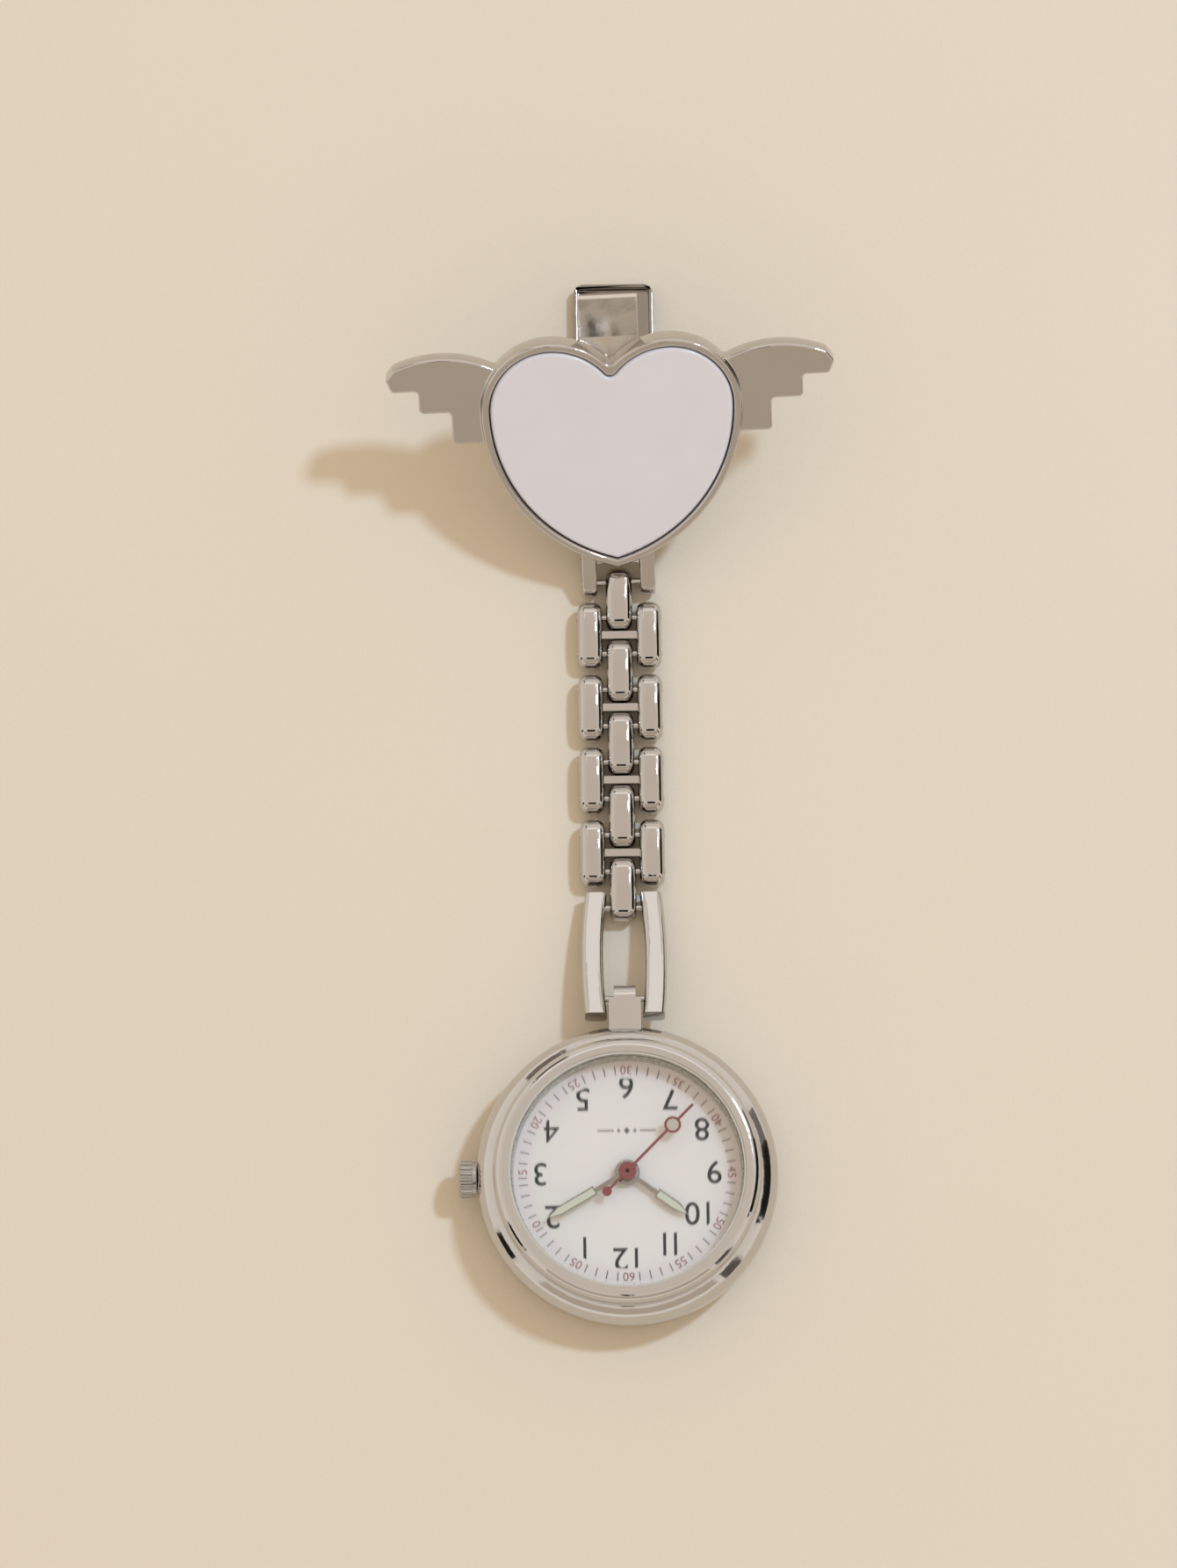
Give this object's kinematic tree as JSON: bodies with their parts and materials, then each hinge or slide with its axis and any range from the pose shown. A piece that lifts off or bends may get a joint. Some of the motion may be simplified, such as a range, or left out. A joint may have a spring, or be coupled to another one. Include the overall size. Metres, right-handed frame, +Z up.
{
  "type": "fob watch",
  "caption": "Heart brooch with wings and a sprung clip, jointed chain and fork, and a round quartz watch that hangs upside down so that its wearer can read it.",
  "frame": {"origin": "centre of the case back's flat outer face, which lies on the ground", "axes": "+Z up through the dial, +Y from the watch along the chain to the brooch, +X to the right, crown at -X, 12 o'clock at -Y"},
  "size_m": [0.0419, 0.1006, 0.0192],
  "materials": {
    "black_rubber": "matte",
    "board_green": "solder mask",
    "brass": "polished",
    "chrome": "polished",
    "chrome_case": "polished",
    "copper_wire": "wound wire",
    "dial_white": "matte white",
    "glass": "clear",
    "lume_green": "matte",
    "lume_white": "matte",
    "magnet": "dark",
    "red_lacquer": "gloss",
    "rehaut_grey": "satin grey",
    "satin_steel": "satin",
    "steel": "fine",
    "white_enamel": "satin gloss",
    "white_plastic": "matte"
  },
  "bodies": {
    "brooch": {"heart_casting": "chrome", "heart_inlay": "white_enamel", "clip_base": "chrome", "clip_pin": "chrome", "clip_spring": "steel", "brooch_pin": "chrome"},
    "clip_lever": {"clip_lever": "chrome"},
    "centre_link_1": {"centre_link_1": "chrome"},
    "centre_link_2": {"centre_link_2": "chrome"},
    "centre_link_3": {"centre_link_3": "chrome"},
    "centre_link_4": {"centre_link_4": "chrome"},
    "centre_link_5": {"centre_link_5": "chrome"},
    "outer_link_1": {"outer_link_1": "chrome", "link_pins_1": "chrome"},
    "outer_link_2": {"outer_link_2": "chrome", "link_pins_2": "chrome"},
    "outer_link_3": {"outer_link_3": "chrome", "link_pins_3": "chrome"},
    "outer_link_4": {"outer_link_4": "chrome", "link_pins_4": "chrome"},
    "fork": {"fork_bar_left": "chrome", "fork_bar_right": "chrome", "fork_pins": "chrome"},
    "watch": {"case": "chrome_case", "case_tube": "steel", "bezel": "chrome_case", "crystal": "glass", "crystal_gasket": "white_plastic", "case_back": "satin_steel", "back_gasket": "black_rubber", "dial": "dial_white", "dial_ring": "rehaut_grey", "movement_ring": "white_plastic", "main_plate": "brass", "train_bridge": "steel", "movement_screws": "steel", "stator": "steel", "coil": "copper_wire", "circuit_board": "board_green", "quartz_can": "steel", "battery": "steel", "battery_clamp": "steel"},
    "sliding_pinion": {"sliding_pinion": "steel"},
    "crown": {"crown": "chrome_case", "stem": "steel"},
    "seconds": {"second_wheel": "brass", "second_hand": "red_lacquer", "second_lume": "lume_white"},
    "minutes": {"centre_wheel": "brass", "minute_hand": "chrome", "minute_lume": "lume_green"},
    "hours": {"hour_wheel": "brass", "hour_hand": "chrome", "hour_lume": "lume_green"},
    "third_wheel": {"third_wheel": "brass"},
    "fifth_wheel": {"fifth_wheel": "brass"},
    "rotor": {"rotor": "magnet"},
    "minute_wheel": {"minute_wheel": "brass"}
  },
  "joints": [
    {"name": "clip_open", "type": "hinge", "parent": "brooch", "child": "clip_lever", "pos_m": [-0.00043, 0.06959, 0.00385], "axis": [0.9994, 0.0349, 0], "range_deg": [0, 30], "stiffness_Nm_per_rad": 0.02, "springref_deg": -57.3, "deforming": ["clip_spring"]},
    {"name": "brooch_swing", "type": "hinge", "parent": "brooch", "child": "centre_link_1", "pos_m": [0, 0.05731, 0.00135], "axis": [0.9994, 0.0349, 0], "range_deg": [-55, 125]},
    {"name": "link_hinge_1", "type": "hinge", "parent": "centre_link_1", "child": "outer_link_1", "pos_m": [0, 0.05381, 0.00135], "axis": [-1, 0, 0], "range_deg": [-75, 75]},
    {"name": "link_hinge_2", "type": "hinge", "parent": "outer_link_1", "child": "centre_link_2", "pos_m": [0, 0.05031, 0.00135], "axis": [1, 0, 0], "range_deg": [-75, 75]},
    {"name": "link_hinge_3", "type": "hinge", "parent": "centre_link_2", "child": "outer_link_2", "pos_m": [0, 0.04681, 0.00135], "axis": [-1, 0, 0], "range_deg": [-75, 75]},
    {"name": "link_hinge_4", "type": "hinge", "parent": "outer_link_2", "child": "centre_link_3", "pos_m": [0, 0.04331, 0.00135], "axis": [1, 0, 0], "range_deg": [-75, 75]},
    {"name": "link_hinge_5", "type": "hinge", "parent": "centre_link_3", "child": "outer_link_3", "pos_m": [0, 0.03981, 0.00135], "axis": [-1, 0, 0], "range_deg": [-75, 75]},
    {"name": "link_hinge_6", "type": "hinge", "parent": "outer_link_3", "child": "centre_link_4", "pos_m": [0, 0.03631, 0.00135], "axis": [1, 0, 0], "range_deg": [-75, 75]},
    {"name": "link_hinge_7", "type": "hinge", "parent": "centre_link_4", "child": "outer_link_4", "pos_m": [0, 0.03281, 0.00135], "axis": [-1, 0, 0], "range_deg": [-75, 75]},
    {"name": "link_hinge_8", "type": "hinge", "parent": "outer_link_4", "child": "centre_link_5", "pos_m": [0, 0.02931, 0.00135], "axis": [1, 0, 0], "range_deg": [-75, 75]},
    {"name": "fork_hinge", "type": "hinge", "parent": "centre_link_5", "child": "fork", "pos_m": [0, 0.02581, 0.00135], "axis": [-1, 0, 0], "range_deg": [-86.6, 63.4]},
    {"name": "watch_swing", "type": "hinge", "parent": "fork", "child": "watch", "pos_m": [0, 0.0168, 0.0032], "axis": [1, 0, 0], "range_deg": [-106.6, 83.4]},
    {"name": "crown_turn", "type": "hinge", "parent": "watch", "child": "sliding_pinion", "pos_m": [-0.00675, 0, 0.00295], "axis": [-1, 0, 0], "continuous": true},
    {"name": "crown_pull", "type": "slide", "parent": "sliding_pinion", "child": "crown", "axis": [-1, 0, 0], "range_m": [0, 0.0009]},
    {"name": "seconds_turn", "type": "hinge", "parent": "watch", "child": "seconds", "pos_m": [0, 0, 0.00675], "axis": [0, 0, -1], "continuous": true},
    {"name": "minutes_turn", "type": "hinge", "parent": "watch", "child": "minutes", "pos_m": [0, 0, 0.00635], "axis": [0, 0, -1], "continuous": true},
    {"name": "hours_turn", "type": "hinge", "parent": "watch", "child": "hours", "pos_m": [0, 0, 0.00595], "axis": [0, 0, -1], "continuous": true},
    {"name": "third_wheel_turn", "type": "hinge", "parent": "watch", "child": "third_wheel", "pos_m": [0, -0.0036, 0.00265], "axis": [0, 0, -1], "continuous": true},
    {"name": "fifth_wheel_turn", "type": "hinge", "parent": "watch", "child": "fifth_wheel", "pos_m": [0, 0.0037, 0.00295], "axis": [0, 0, -1], "continuous": true},
    {"name": "rotor_turn", "type": "hinge", "parent": "watch", "child": "rotor", "pos_m": [0.00251, 0.00515, 0.0025], "axis": [0, 0, -1], "continuous": true},
    {"name": "minute_wheel_turn", "type": "hinge", "parent": "watch", "child": "minute_wheel", "pos_m": [-0.0026, 0.0015, 0.0045], "axis": [0, 0, -1], "continuous": true}
  ],
  "couplings": [
    {"joint": "minutes_turn", "follows": "seconds_turn", "ratio": 0.016667},
    {"joint": "hours_turn", "follows": "seconds_turn", "ratio": 0.0013889},
    {"joint": "third_wheel_turn", "follows": "seconds_turn", "ratio": -0.125},
    {"joint": "fifth_wheel_turn", "follows": "seconds_turn", "ratio": -5},
    {"joint": "rotor_turn", "follows": "seconds_turn", "ratio": 30},
    {"joint": "minute_wheel_turn", "follows": "seconds_turn", "ratio": -0.0055556}
  ]
}
